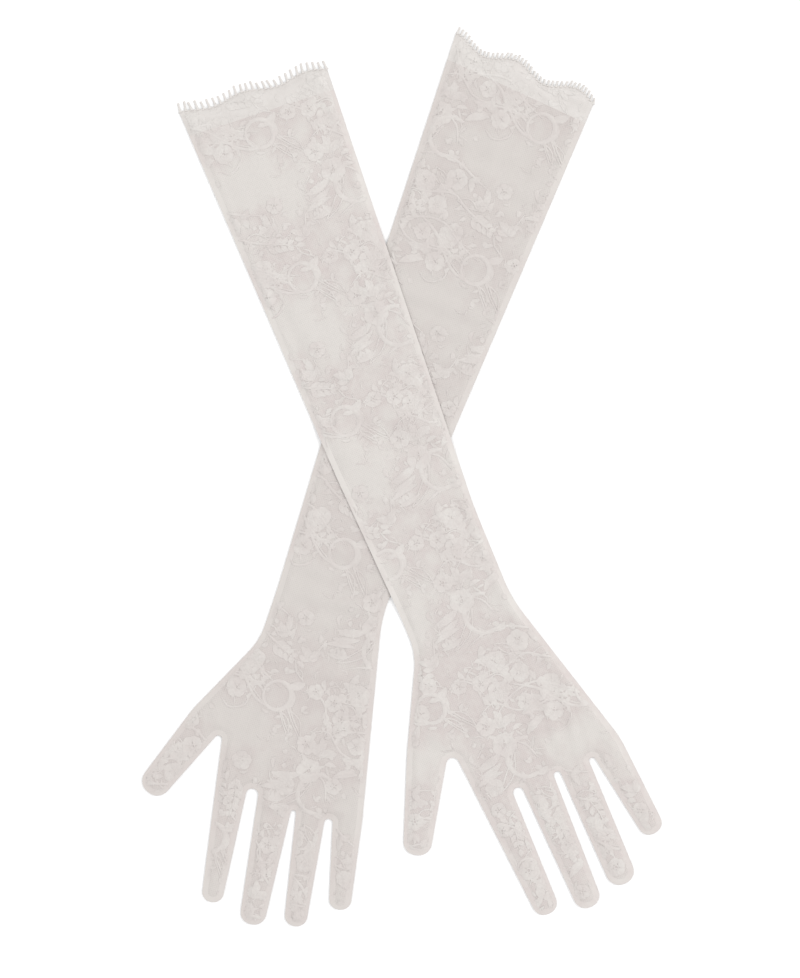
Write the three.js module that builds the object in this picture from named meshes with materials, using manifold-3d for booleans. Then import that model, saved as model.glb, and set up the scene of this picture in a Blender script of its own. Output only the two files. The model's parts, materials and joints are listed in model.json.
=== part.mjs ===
// A pair of long stretch-lace gloves, laid flat and crossed, the left one over the right one.
// Millimetres, +Z up from the table, +Y towards the cuffs. Each glove is two lace panels sewn along
// their outline, with a scalloped fringed border round the arm opening, and it is divided into
// sections at the lines where the cloth folds.
import * as THREE from "three";
import { mergeVertices } from "three/addons/utils/BufferGeometryUtils.js";
import Module from "manifold-3d";

const wasm = await Module();
wasm.setup();

// Cloth and seam
const THICKNESS = 9; // a laid glove, with air between its two layers
const WALL = 0.8; // one layer of lace
const EDGE_ROUND = 3; // how far the sewn edge rolls in from the outline
const SEAM_FLAT = 0.5; // flat part of the sewn edge, past its roll
const CLEARANCE = 0.3; // between neighbouring pieces
const FOLD_GAP = 0.95; // between two sections, at a fold line

// Arm
const ARM_BEND = 4; // degrees that the arm leans to the little finger's side
const CUFF_HALF_THUMB = 50.4; // half widths of the arm at the cuff
const CUFF_HALF_LITTLE = 48;
const MID_HALF_THUMB = 40.7; // half width on the thumb's side, part of the way up the arm
const MID_HEIGHT = 95;
const WRIST_HALF_THUMB = 35; // half widths at the wrist
const WRIST_HALF_LITTLE = 33.6;

// Rounding of the outline's corners
const ARM_CURVE = 250;
const WRIST_CURVE = 90;
const THUMB_HEEL_CURVE = 45;
const PALM_CURVE = 60;

// Fold lines
const WRIST_FOLD = 12; // from the wrist, towards the fingers
const THUMB_FOLD = 6; // from the crotch, towards the thumb's tip
const FINGER_FOLD = 7; // from the line of the finger roots, towards the tips

// Scalloped border
const BORDER_DEPTH = 15;
const SCALLOP_LENGTH = 42;
const SCALLOP_HEIGHT = 2.8; // above and below the mean line
const SCALLOP_START = -8; // where a scallop has its top, from the arm's middle

const FINGERS = ["thumb", "index", "middle", "ring", "little"];

// Each glove keeps its own stretch and pose. across is positive to the little finger's side and
// along is from the wrist to the tips; a splay is in degrees towards the little finger.
const LEFT = {
  name: "left",
  upperPanel: "back",
  lift: THICKNESS + CLEARANCE, // it lies on the other glove
  wrist: [31, -69],
  turn: 25.2,
  armLength: 340.5,
  armFold: 225,
  cuffSlant: 3.4, // degrees by which the thumb's side of the cuff stands higher
  crotchRadius: 4.2,
  waist: 45,
  thumbHeel: [36, 26],
  littleHeel: 20,
  webs: [130, 131.5, 133],
  lashPitch: 3.7,
  lashWidth: 1.2,
  lashLength: 6,
  fingers: {
    thumb: { across: -57, along: 87.4, splay: -31.4, root: 25.5, tip: 16.8, reach: 63.6 },
    index: { across: -28.9, along: 130, splay: -0.6, root: 21.6, tip: 15, reach: 81 },
    middle: { across: -0.6, along: 130, splay: -2.2, root: 21.4, tip: 16, reach: 88.5 },
    ring: { across: 24.5, along: 130, splay: -1.9, root: 19.5, tip: 17.5, reach: 84.3 },
    little: { across: 48, along: 130, splay: 4.2, root: 20.5, tip: 14.5, reach: 63.5 },
  },
};
const RIGHT = {
  name: "right",
  upperPanel: "palm",
  lift: 0,
  wrist: [-44, -75],
  turn: -16.2,
  armLength: 358,
  armFold: 244,
  cuffSlant: 4.6,
  crotchRadius: 2.4,
  waist: 90,
  thumbHeel: [36.5, 36],
  littleHeel: 2,
  webs: [127.5, 133.5, 132.5],
  lashPitch: 2.4,
  lashWidth: 0.9,
  lashLength: 3.6,
  fingers: {
    thumb: { across: -54.8, along: 94, splay: -23, root: 22.3, tip: 17.6, reach: 58.8 },
    index: { across: -27.9, along: 130, splay: 6.2, root: 19.7, tip: 13, reach: 74.2 },
    middle: { across: 1, along: 130, splay: 5.2, root: 22.4, tip: 15.6, reach: 80.6 },
    ring: { across: 24.6, along: 130, splay: 8, root: 18.8, tip: 13.7, reach: 74.5 },
    little: { across: 48.4, along: 130, splay: 11, root: 18.6, tip: 13.4, reach: 56.9 },
  },
};

// Derived sizes
const SEAM_WIDTH = EDGE_ROUND + SEAM_FLAT; // the sewn edges of both panels
const FAR = 500; // reaches past a whole glove
const TIP_ROUNDING = 0.48; // radius of a fingertip's corners, as a share of its width
const LASH_MARGIN = SEAM_WIDTH + 1; // no lash stands on the side seams

const radians = THREE.MathUtils.degToRad;

// ---- Plane frames: y runs towards the cuff, so a tip lies at negative y ----

const frame = (x, y, degrees) => ({ origin: new THREE.Vector2(x, y), angle: radians(degrees) });

function place(home, x, y) {
  const point = new THREE.Vector2(x, y);
  return point.rotateAround(new THREE.Vector2(), home.angle).add(home.origin);
}

const HAND = frame(0, 0, 0);
const ARM = frame(0, 0, -ARM_BEND);
const fingerFrame = (finger) => frame(finger.across, -finger.along, finger.splay);

// ---- Outlines: closed rings of corners, counterclockwise, each with a rounding radius ----

const corner = (home, x, y, radius = 0) => ({ point: place(home, x, y), radius });

const heading = (from, to) => to.point.clone().sub(from.point).normalize();

const leftOf = (direction) => new THREE.Vector2(-direction.y, direction.x);

function neighbours(ring, i) {
  return [heading(ring.at(i - 1), ring[i]), heading(ring[i], ring[(i + 1) % ring.length])];
}

// The ring moved inwards, with its rounds kept concentric.
function insetRing(ring, distance) {
  return ring.map((place, i) => {
    const [before, after] = neighbours(ring, i);
    const shift = leftOf(before).add(leftOf(after));
    shift.multiplyScalar(distance / (1 + before.dot(after)));
    const radius = place.radius && place.radius - Math.sign(before.cross(after)) * distance;
    return { point: place.point.clone().add(shift), radius };
  });
}

function roundedShape(ring) {
  const shape = new THREE.Shape();
  ring.forEach((place, i) => {
    const [before, after] = neighbours(ring, i);
    const turn = Math.atan2(before.cross(after), before.dot(after));
    const reach = place.radius * Math.tan(Math.abs(turn) / 2);
    const start = place.point.clone().addScaledVector(before, -reach);
    if (i === 0) shape.moveTo(start.x, start.y);
    if (reach === 0) {
      shape.lineTo(start.x, start.y);
      return;
    }
    const centre = start.clone().addScaledVector(leftOf(before), place.radius * Math.sign(turn));
    const from = Math.atan2(start.y - centre.y, start.x - centre.x);
    shape.absarc(centre.x, centre.y, place.radius, from, from + turn, turn < 0);
  });
  return shape;
}

// The point of a finger's side at a height of the glove; side is -1 or 1.
function sidePoint(finger, side, along) {
  const home = fingerFrame(finger);
  const root = place(home, (side * finger.root) / 2, 0);
  const tip = place(home, (side * finger.tip) / 2, -finger.reach);
  const share = (-along - root.y) / (tip.y - root.y);
  return root.lerp(tip, share);
}

// Where the thumb's inner side meets the index finger's outer side.
function crotchPoint(thumb, index) {
  const [a, b] = [sidePoint(thumb, 1, 0), sidePoint(thumb, 1, 1)];
  const [c, d] = [sidePoint(index, -1, 0), sidePoint(index, -1, 1)];
  const along = (a.x - c.x) / (d.x - c.x - (b.x - a.x));
  return sidePoint(thumb, 1, along);
}

function tipCorners(finger) {
  const home = fingerFrame(finger);
  const half = finger.tip / 2;
  const radius = finger.tip * TIP_ROUNDING;
  return [corner(home, -half, -finger.reach, radius), corner(home, half, -finger.reach, radius)];
}

// The bottom of the gap between two fingers.
function webCorners(before, after, along) {
  const [a, b] = [sidePoint(before, 1, along), sidePoint(after, -1, along)];
  const radius = (b.x - a.x) * TIP_ROUNDING;
  return [
    { point: a, radius },
    { point: b, radius },
  ];
}

// The whole glove, from the thumb's side of the cuff round the fingers and back to the cuff.
function gloveRing(glove) {
  const { thumb, index, middle, ring, little } = glove.fingers;
  const end = glove.armLength + BORDER_DEPTH;
  const [heelAcross, heelAlong] = glove.thumbHeel;
  return [
    corner(ARM, -CUFF_HALF_THUMB, end),
    corner(ARM, -MID_HALF_THUMB, MID_HEIGHT, ARM_CURVE),
    corner(HAND, -WRIST_HALF_THUMB, 0, WRIST_CURVE),
    corner(HAND, -heelAcross, -heelAlong, THUMB_HEEL_CURVE),
    corner(fingerFrame(thumb), -thumb.root / 2, 0, PALM_CURVE),
    ...tipCorners(thumb),
    { point: crotchPoint(thumb, index), radius: glove.crotchRadius },
    ...tipCorners(index),
    ...webCorners(index, middle, glove.webs[0]),
    ...tipCorners(middle),
    ...webCorners(middle, ring, glove.webs[1]),
    ...tipCorners(ring),
    ...webCorners(ring, little, glove.webs[2]),
    ...tipCorners(little),
    corner(fingerFrame(little), little.root / 2, 0, PALM_CURVE),
    corner(HAND, WRIST_HALF_LITTLE, -glove.littleHeel, WRIST_CURVE),
    corner(ARM, WRIST_HALF_LITTLE, glove.waist, ARM_CURVE),
    corner(ARM, CUFF_HALF_LITTLE, end),
  ];
}

// ---- Solids ----

function solid(geometry) {
  geometry.deleteAttribute("normal");
  geometry.deleteAttribute("uv");
  const merged = mergeVertices(geometry, 1e-4);
  const vertProperties = merged.attributes.position.array;
  const triVerts = new Uint32Array(merged.index.array);
  return new wasm.Manifold(new wasm.Mesh({ numProp: 3, vertProperties, triVerts }));
}

function prism(shape, bottom, top) {
  const options = { depth: top - bottom, bevelEnabled: false, curveSegments: 2 };
  return solid(new THREE.ExtrudeGeometry(shape, options).translate(0, 0, bottom));
}

// A slab of the glove between two heights, with a rolled edge.
function rolledSlab(ring) {
  const flat = THICKNESS / 10; // the upright part of the edge
  const roll = (THICKNESS - flat) / 2;
  const geometry = new THREE.ExtrudeGeometry(roundedShape(ring), {
    depth: flat,
    bevelThickness: roll,
    bevelSize: EDGE_ROUND,
    bevelOffset: -EDGE_ROUND,
    bevelSegments: 2,
    curveSegments: 2,
  });
  return solid(geometry.translate(0, 0, roll));
}

// A zone of the plane in a frame, between two values of y and two of x, through every height.
function zone(home, low, high, left = -FAR, right = FAR) {
  const shape = new THREE.Shape([
    place(home, left, low),
    place(home, right, low),
    place(home, right, high),
    place(home, left, high),
  ]);
  return prism(shape, -FAR, FAR);
}

// The height of the cuff's slanted line over its middle.
const slantRise = (glove, x) => -x * Math.tan(radians(glove.cuffSlant));

// The border's outline: scallops, with a lash on every pitch, down to its straight join.
function borderShape(glove) {
  const wave = (x) => Math.cos((2 * Math.PI * (x - SCALLOP_START)) / SCALLOP_LENGTH);
  const edge = (x, lash = 0) =>
    place(ARM, x, glove.armLength + slantRise(glove, x) + SCALLOP_HEIGHT * wave(x) + lash);
  const join = (x) => place(ARM, x, glove.armLength + slantRise(glove, x) - BORDER_DEPTH);
  const low = LASH_MARGIN - CUFF_HALF_THUMB;
  const high = CUFF_HALF_LITTLE - LASH_MARGIN;
  const count = Math.floor((high - low) / glove.lashPitch);
  const start = (low + high - count * glove.lashPitch - glove.lashWidth) / 2;
  const points = [join(-FAR), join(FAR), edge(FAR)];
  for (let i = count; i >= 0; i--) {
    const left = start + i * glove.lashPitch;
    const right = left + glove.lashWidth;
    points.push(edge(right), edge(right, glove.lashLength));
    points.push(edge(left, glove.lashLength), edge(left));
  }
  points.push(edge(-FAR));
  return new THREE.Shape(points);
}

// Everything on the hand's side of the border, less the clearance.
function belowBorder(glove) {
  const middle = place(ARM, 0, glove.armLength - BORDER_DEPTH);
  return zone(frame(middle.x, middle.y, -ARM_BEND - glove.cuffSlant), -FAR, -CLEARANCE);
}

// The zone of each section: what lies between its own fold line and the next one.
function sectionZones(glove) {
  const half = FOLD_GAP / 2;
  const zones = {
    upperarm: zone(ARM, glove.armFold + half, FAR).intersect(belowBorder(glove)),
    forearm: zone(ARM, -FAR, glove.armFold - half).intersect(zone(HAND, half - WRIST_FOLD, FAR)),
    hand: zone(HAND, -FAR, -WRIST_FOLD - half),
  };
  for (const name of FINGERS) {
    const finger = glove.fingers[name];
    const fold = name === "thumb" ? THUMB_FOLD : FINGER_FOLD;
    const side = finger.root / 2 + FOLD_GAP;
    const end = -finger.reach - THICKNESS;
    zones[name] = zone(fingerFrame(finger), end, -fold - half, -side, side);
    zones.hand = zones.hand.subtract(zone(fingerFrame(finger), end, half - fold, -side, side));
  }
  return zones;
}

// The zone between the axes of the thumb and the little finger, which holds the four webs.
function webZone(glove) {
  const { thumb, little } = glove.fingers;
  const shape = new THREE.Shape([
    place(HAND, 0, -thumb.along / 2),
    place(fingerFrame(thumb), 0, 0),
    place(fingerFrame(thumb), 0, -thumb.reach),
    place(fingerFrame(little), 0, -little.reach),
    place(fingerFrame(little), 0, 0),
  ]);
  return prism(shape, -FAR, FAR);
}

// ---- Materials ----

const lace = { color: 0xd9d2cc, roughness: 0.85, metalness: 0 };
const FINISHES = {
  back: new THREE.MeshStandardMaterial({ ...lace, name: "lace_back" }),
  palm: new THREE.MeshStandardMaterial({ ...lace, color: 0xd4cdc7, name: "lace_palm" }),
  seam: new THREE.MeshStandardMaterial({ ...lace, color: 0xe0dbd7, name: "seam" }),
  border: new THREE.MeshStandardMaterial({ ...lace, color: 0xe6e2df, name: "border" }),
};

function meshOf(part, name, finish) {
  const { vertProperties, triVerts } = part.getMesh();
  const geometry = new THREE.BufferGeometry();
  geometry.setAttribute("position", new THREE.BufferAttribute(vertProperties, 3));
  geometry.setIndex(new THREE.BufferAttribute(triVerts, 1));
  geometry.computeVertexNormals();
  const mesh = new THREE.Mesh(geometry, FINISHES[finish]);
  mesh.name = name;
  return mesh;
}

// ---- One glove ----

// The solids that every section is cut from. In the hand, the seam of the four webs is bound to the
// panel that lies underneath.
function gloveStock(glove) {
  const ring = gloveRing(glove);
  const slab = rolledSlab(ring);
  const inside = roundedShape(insetRing(ring, SEAM_WIDTH));
  const panel = roundedShape(insetRing(ring, SEAM_WIDTH + CLEARANCE));
  const hollow = prism(inside, WALL, THICKNESS - WALL);
  const seam = slab.subtract(prism(inside, -WALL, THICKNESS + WALL));
  const webs = webZone(glove);
  const [upper, lower] = glove.upperPanel === "back" ? ["back", "palm"] : ["palm", "back"];
  const lowerPanel = prism(panel, 0, WALL);
  const binding = seam.add(slab.intersect(prism(inside, 0, WALL))).intersect(webs);
  return {
    [upper]: prism(panel, THICKNESS - WALL, THICKNESS),
    [lower]: lowerPanel,
    seam,
    border: slab.intersect(prism(borderShape(glove), -WALL, THICKNESS + WALL)).subtract(hollow),
    hand: { [lower]: lowerPanel.add(binding), seam: seam.subtract(webs) },
  };
}

// The two panels of a section.
function panels(glove, stock, section, area) {
  return ["back", "palm"].map((layer) =>
    meshOf(stock[layer].intersect(area), `${glove.name}_${section}_${layer}`, layer),
  );
}

// The two seams of a section that is open at both ends, one on each side of the glove's middle.
function sideSeams(glove, stock, section, area, home) {
  const sides = { thumb: zone(home, -FAR, FAR, -FAR, 0), little: zone(home, -FAR, FAR, 0, FAR) };
  return Object.entries(sides).map(([side, half]) => {
    const part = stock.seam.intersect(area).intersect(half);
    return meshOf(part, `${glove.name}_${section}_${side}_seam`, "seam");
  });
}

// Pieces turned by a slope about a fold line in their upper face.
function folded(pieces, home, y, slope) {
  const pivot = place(home, 0, y);
  const axis = place(home, 1, 0).sub(home.origin);
  const group = new THREE.Group();
  group.position.set(pivot.x, pivot.y, THICKNESS);
  group.quaternion.setFromAxisAngle(new THREE.Vector3(axis.x, axis.y, 0), slope);
  for (const piece of pieces) {
    piece.position.set(-pivot.x, -pivot.y, -THICKNESS);
    group.add(piece);
  }
  return group;
}

// The slope that brings the end of a section of this length down to the table.
const slopeDown = (glove, length) => Math.asin(glove.lift / length);

function gloveGroup(glove) {
  const zones = sectionZones(glove);
  const stock = gloveStock(glove);
  const handStock = { ...stock, ...stock.hand };
  const arm = [
    ...panels(glove, stock, "upperarm", zones.upperarm),
    ...sideSeams(glove, stock, "upperarm", zones.upperarm, ARM),
    meshOf(stock.border, `${glove.name}_border`, "border"),
  ];
  const forearm = [
    ...panels(glove, stock, "forearm", zones.forearm),
    ...sideSeams(glove, stock, "forearm", zones.forearm, ARM),
  ];
  const hand = [
    ...panels(glove, handStock, "hand", zones.hand),
    ...sideSeams(glove, handStock, "hand", zones.hand, HAND),
  ];
  for (const finger of FINGERS) {
    hand.push(...panels(glove, stock, finger, zones[finger]));
    hand.push(meshOf(stock.seam.intersect(zones[finger]), `${glove.name}_${finger}_seam`, "seam"));
  }
  const topOfBorder = glove.armLength + SCALLOP_HEIGHT + slantRise(glove, -CUFF_HALF_THUMB);
  const armReach = topOfBorder + glove.lashLength - glove.armFold;
  const { middle } = glove.fingers;
  const handReach = middle.along + middle.reach - WRIST_FOLD - EDGE_ROUND;
  const group = new THREE.Group();
  group.add(folded(arm, ARM, glove.armFold, -slopeDown(glove, armReach)), ...forearm);
  group.add(folded(hand, HAND, -WRIST_FOLD, slopeDown(glove, handReach)));
  group.position.set(...glove.wrist, glove.lift);
  group.rotation.z = radians(glove.turn);
  return group;
}

// ---- The pair, with its origin on the table under the middle of its outline ----

const pair = new THREE.Group();
pair.add(gloveGroup(LEFT), gloveGroup(RIGHT));
pair.updateMatrixWorld(true);
const middleOfPair = new THREE.Box3().setFromObject(pair, true).getCenter(new THREE.Vector3());
pair.position.set(-middleOfPair.x, -middleOfPair.y, 0);

export default pair;
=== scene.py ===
import json
import math

import bpy
import numpy as np
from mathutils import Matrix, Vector
from mathutils.geometry import delaunay_2d_cdt


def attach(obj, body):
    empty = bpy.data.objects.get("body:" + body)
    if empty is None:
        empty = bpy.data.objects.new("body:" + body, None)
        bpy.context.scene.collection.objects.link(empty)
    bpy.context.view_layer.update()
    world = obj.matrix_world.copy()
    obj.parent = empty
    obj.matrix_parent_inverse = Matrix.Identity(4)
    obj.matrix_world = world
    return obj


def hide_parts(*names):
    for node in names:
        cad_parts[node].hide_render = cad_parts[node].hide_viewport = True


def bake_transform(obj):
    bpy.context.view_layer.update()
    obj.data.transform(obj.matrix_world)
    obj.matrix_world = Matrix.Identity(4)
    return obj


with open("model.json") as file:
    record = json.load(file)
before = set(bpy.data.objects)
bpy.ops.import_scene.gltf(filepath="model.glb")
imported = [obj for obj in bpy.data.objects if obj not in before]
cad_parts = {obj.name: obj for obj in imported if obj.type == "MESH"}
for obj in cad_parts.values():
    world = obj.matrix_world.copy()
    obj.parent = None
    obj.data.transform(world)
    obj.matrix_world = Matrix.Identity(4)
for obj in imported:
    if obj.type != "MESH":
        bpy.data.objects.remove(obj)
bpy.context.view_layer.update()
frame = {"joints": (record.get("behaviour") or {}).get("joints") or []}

MM = 0.001

# ---- Camera: straight above, at the photograph's distance ----

LENS = 100
SENSOR = 36
VIEW_HEIGHT = 0.619  # what the picture's long side covers at the table
VIEW_CENTRE = (-0.0012, -0.0066)

camera = bpy.data.objects.new("camera", bpy.data.cameras.new("camera"))
camera.data.lens = LENS
camera.data.sensor_width = SENSOR
camera.location = (*VIEW_CENTRE, VIEW_HEIGHT * LENS / SENSOR)
camera.data.clip_end = 10
bpy.context.scene.collection.objects.link(camera)
bpy.context.scene.camera = camera

# ---- The pattern, in millimetres, as in the CAD ----

ARM_BEND = 4
CUFF_HALF_THUMB, CUFF_HALF_LITTLE = 50.4, 48
MID_HALF_THUMB, MID_HEIGHT = 40.7, 95
WRIST_HALF_THUMB, WRIST_HALF_LITTLE = 35, 33.6
ARM_CURVE, WRIST_CURVE, THUMB_HEEL_CURVE, PALM_CURVE = 250, 90, 45, 60
WRIST_FOLD, THUMB_FOLD, FINGER_FOLD = 12, 6, 7
FOLD_GAP = 0.95
BORDER_DEPTH = 15
SCALLOP_LENGTH, SCALLOP_START = 42, -8
TIP_ROUNDING = 0.48
FINGERS = ["thumb", "index", "middle", "ring", "little"]

PAIR = {  # the left glove's values, then the right one's; those of fingers in the order of FINGERS
    "name": ("left", "right"),
    "top": ("back", "palm"),
    "bottom": ("palm", "back"),
    "arm_length": (340.5, 358),
    "cuff_slant": (3.4, 4.6),
    "scallop": (1.7, 3.2),
    "crotch_radius": (4.2, 2.4),
    "waist": (45, 90),
    "thumb_heel": ((36, 26), (36.5, 36)),
    "little_heel": (20, 2),
    "webs": ((130, 131.5, 133), (127.5, 133.5, 132.5)),
    "root": ((25.5, 21.6, 21.4, 19.5, 20.5), (22.3, 19.7, 22.4, 18.8, 18.6)),
    "tip": ((16.8, 15, 16, 17.5, 14.5), (17.6, 13, 15.6, 13.7, 13.4)),
    "reach": ((63.6, 81, 88.5, 84.3, 63.5), (58.8, 74.2, 80.6, 74.5, 56.9)),
    "lash_pitch": (3.7, 2.6),
    "lash_width": (1.2, 1.1),
    "lash_length": (6.4, 4.7),
    "ring_at": (np.array([-15.0, 219.0]), np.array([13.0, 228.0])),  # a ring of the lace
    "row": (np.array([-7.6, -94.5]), np.array([-8.2, -98.5])),  # to the next repeat
    "hand_pink": (0.5, 0.22),  # how much less pale the net is over the hand
}
LEFT, RIGHT = ({key: values[i] for key, values in PAIR.items()} for i in (0, 1))
for glove in (LEFT, RIGHT):
    for key in ("root", "tip", "reach"):
        glove[key] = dict(zip(FINGERS, glove[key]))

# Cloth
STEP = 2.0 * MM  # spacing of the finished cloth's points
SIM_STEP = 3.8 * MM  # spacing of the simulated cloth's points
SEAM_WIDTH = 3.6 * MM
SEAM_FADE = 1.6 * MM
RIM_ANGLE = 50  # where two faces turn more than this, their shading is split
SEAM_LIFT = 0.16 * MM  # the turned edge stands on the panel
EDGE_HALF = 0.28 * MM  # half of the sewn edge's thickness
EDGE_ROLL = 3.0 * MM  # how far in from the outline the edge's roundness reaches
TABLE_GAP = 0.5 * MM
LAYER_GAP = 0.33 * MM
LOWEST = 0.05 * MM  # nothing of the gloves lies lower than this
SMALLEST_ROUND = 0.2 * MM
RIM_CLEARANCE, LINE_CLEARANCE = 0.6, 0.45  # of loose points from the rim and from lines, in steps
ARM_BLEND, FINGER_BLEND = 20 * MM, 13 * MM

# ---- Plane frames ----


class Plane:
    """A frame in the table's plane: x across the glove, y towards the cuff."""

    def __init__(self, origin, angle):
        self.origin = np.array(origin, float)
        self.angle = angle
        c, s = math.cos(angle), math.sin(angle)
        self.turn = np.array([[c, s], [-s, c]])

    def out(self, points):
        return np.asarray(points, float) @ self.turn + self.origin

    def into(self, points):
        return (np.asarray(points, float) - self.origin) @ self.turn.T


def joint_plane(name, sign, back=0.0):
    """The frame of a fold: its x along the fold line, its origin moved back towards the cuff."""
    joint = next(j for j in frame["joints"] if j["name"] == name)
    angle = math.atan2(sign * joint["axis"][1], sign * joint["axis"][0])
    fold = Plane(joint["pos_m"][:2], angle)
    return Plane(fold.out((0, back)), angle)


def add_planes(glove):
    name = glove["name"]
    folds = {"upperarm": joint_plane(f"{name}_upperarm_fold", 1)}
    folds["hand"] = joint_plane(f"{name}_wrist_fold", -1)
    hand = joint_plane(f"{name}_wrist_fold", -1, WRIST_FOLD * MM)
    planes = {"hand": hand, "arm": Plane(hand.origin, hand.angle - math.radians(ARM_BEND))}
    for finger in FINGERS:
        back = THUMB_FOLD if finger == "thumb" else FINGER_FOLD
        folds[finger] = joint_plane(f"{name}_{finger}_fold", -1)
        planes[finger] = joint_plane(f"{name}_{finger}_fold", -1, back * MM)
    glove["folds"], glove["planes"] = folds, planes


# ---- Outline ----


def ring_of(glove):
    """The outline's corners with their rounding radii, counterclockwise from the cuff."""
    planes = glove["planes"]

    def corner(home, x, y, radius=0.0):
        return planes[home].out((x * MM, y * MM)), radius * MM

    def side(finger, sign, along):
        root = planes[finger].out((sign * glove["root"][finger] / 2 * MM, 0))
        tip = planes[finger].out((sign * glove["tip"][finger] / 2 * MM, -glove["reach"][finger] * MM))
        a, b = planes["hand"].into(root), planes["hand"].into(tip)
        return planes["hand"].out(a + (b - a) * (-along * MM - a[1]) / (b[1] - a[1]))

    def tips(finger):
        half, reach = glove["tip"][finger] / 2, glove["reach"][finger]
        radius = 2 * half * TIP_ROUNDING
        return [corner(finger, -half, -reach, radius), corner(finger, half, -reach, radius)]

    def web(before, after, along):
        a, b = side(before, 1, along), side(after, -1, along)
        radius = np.linalg.norm(b - a) * TIP_ROUNDING
        return [(a, radius), (b, radius)]

    def crotch():
        a, b = side("thumb", 1, 0), side("thumb", 1, 1)
        c, d = side("index", -1, 0), side("index", -1, 1)
        share = np.linalg.solve(np.stack([b - a, c - d], axis=1), c - a)[0]
        return a + (b - a) * share, glove["crotch_radius"] * MM

    end = glove["arm_length"] + BORDER_DEPTH
    heel_across, heel_along = glove["thumb_heel"]
    webs = glove["webs"]
    return [
        corner("arm", -CUFF_HALF_THUMB, end),
        corner("arm", -MID_HALF_THUMB, MID_HEIGHT, ARM_CURVE),
        corner("hand", -WRIST_HALF_THUMB, 0, WRIST_CURVE),
        corner("hand", -heel_across, -heel_along, THUMB_HEEL_CURVE),
        corner("thumb", -glove["root"]["thumb"] / 2, 0, PALM_CURVE),
        *tips("thumb"),
        crotch(),
        *tips("index"),
        *web("index", "middle", webs[0]),
        *tips("middle"),
        *web("middle", "ring", webs[1]),
        *tips("ring"),
        *web("ring", "little", webs[2]),
        *tips("little"),
        corner("little", glove["root"]["little"] / 2, 0, PALM_CURVE),
        corner("hand", WRIST_HALF_LITTLE, -glove["little_heel"], WRIST_CURVE),
        corner("arm", WRIST_HALF_LITTLE, glove["waist"], ARM_CURVE),
        corner("arm", CUFF_HALF_LITTLE, end),
    ]


def cross2(a, b):
    return a[0] * b[1] - a[1] * b[0]


def unit(v):
    return v / np.linalg.norm(v)


def inset(ring, distance):
    """The ring moved inwards. Its rounds keep their centres."""
    moved = []
    for i, (point, radius) in enumerate(ring):
        before = unit(point - ring[i - 1][0])
        after = unit(ring[(i + 1) % len(ring)][0] - point)
        left = np.array([-before[1] - after[1], before[0] + after[0]])
        shift = left * distance / (1 + before @ after)
        grown = radius and max(radius - math.copysign(distance, cross2(before, after)), SMALLEST_ROUND)
        moved.append((point + shift, grown))
    return moved


def rounded(ring, step):
    """Points along the ring, its corners as arcs. It starts and ends at the cuff."""
    points = [ring[0][0]]
    for i in range(1, len(ring) - 1):
        point, radius = ring[i]
        before, after = unit(point - ring[i - 1][0]), unit(ring[i + 1][0] - point)
        turn = math.atan2(cross2(before, after), before @ after)
        start = point - before * radius * math.tan(abs(turn) / 2)
        normal = np.array([-before[1], before[0]]) * math.copysign(1, turn)
        centre = start + normal * radius
        count = max(2, math.ceil(abs(turn) * radius / min(step, radius * 0.5)))
        for k in range(count + 1):
            angle = turn * k / count
            c, s = math.cos(angle), math.sin(angle)
            arm = start - centre
            points.append(centre + np.array([arm[0] * c - arm[1] * s, arm[0] * s + arm[1] * c]))
    points.append(ring[-1][0])
    dense = []
    for a, b in zip(points[:-1], points[1:]):
        count = max(1, round(np.linalg.norm(b - a) / step))
        dense += [a + (b - a) * k / count for k in range(count)]
    return np.array(dense + [points[-1]])


def edge_height(glove, x):
    """The scalloped edge's height up the arm over an across value, both in metres."""
    wave = np.cos(2 * np.pi * (x / MM - SCALLOP_START) / SCALLOP_LENGTH)
    slant = -x * math.tan(math.radians(glove["cuff_slant"]))
    return (glove["arm_length"] + glove["scallop"] * wave) * MM + slant


def join_height(glove, x):
    """The same for the border's straight join."""
    slant = x * math.tan(math.radians(glove["cuff_slant"]))
    return (glove["arm_length"] - BORDER_DEPTH) * MM - slant


def closed_outline(glove, ring, step):
    """The cloth's outline: the ring below the scallops, and the scallops themselves."""
    line = rounded(ring, step)
    arm = glove["planes"]["arm"]
    local = arm.into(line)
    low = local[:, 1] < edge_height(glove, local[:, 0]) - 0.4 * step
    keep = np.flatnonzero(low)
    line = line[keep[0] : keep[-1] + 1]
    ends = []
    for end, before in ((-1, -2), (0, 1)):
        here = arm.into(line[end])
        side = here - arm.into(line[before])
        ends.append(here[0] + side[0] / side[1] * (edge_height(glove, here[0]) - here[1]))
    x = np.linspace(*ends, max(3, round((ends[0] - ends[1]) / step)))
    top = arm.out(np.stack([x, edge_height(glove, x)], axis=1))
    return np.concatenate([line, top])


def inside(points, polygon):
    """Which points lie in a polygon."""
    result = np.zeros(len(points), bool)
    for a, b in zip(polygon, np.roll(polygon, -1, axis=0)):
        crosses = (a[1] > points[:, 1]) != (b[1] > points[:, 1])
        with np.errstate(divide="ignore", invalid="ignore"):
            x = a[0] + (points[:, 1] - a[1]) * (b[0] - a[0]) / (b[1] - a[1])
        result ^= crosses & (points[:, 0] < x)
    return result


def distance_to(points, polygon):
    """How far each point is from a polygon's line."""
    best = np.full(len(points), np.inf)
    for a, b in zip(polygon, np.roll(polygon, -1, axis=0)):
        d = b - a
        t = np.clip(((points - a) @ d) / max(d @ d, 1e-18), 0, 1)
        best = np.minimum(best, np.linalg.norm(points - a - t[:, None] * d, axis=1))
    return best


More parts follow.
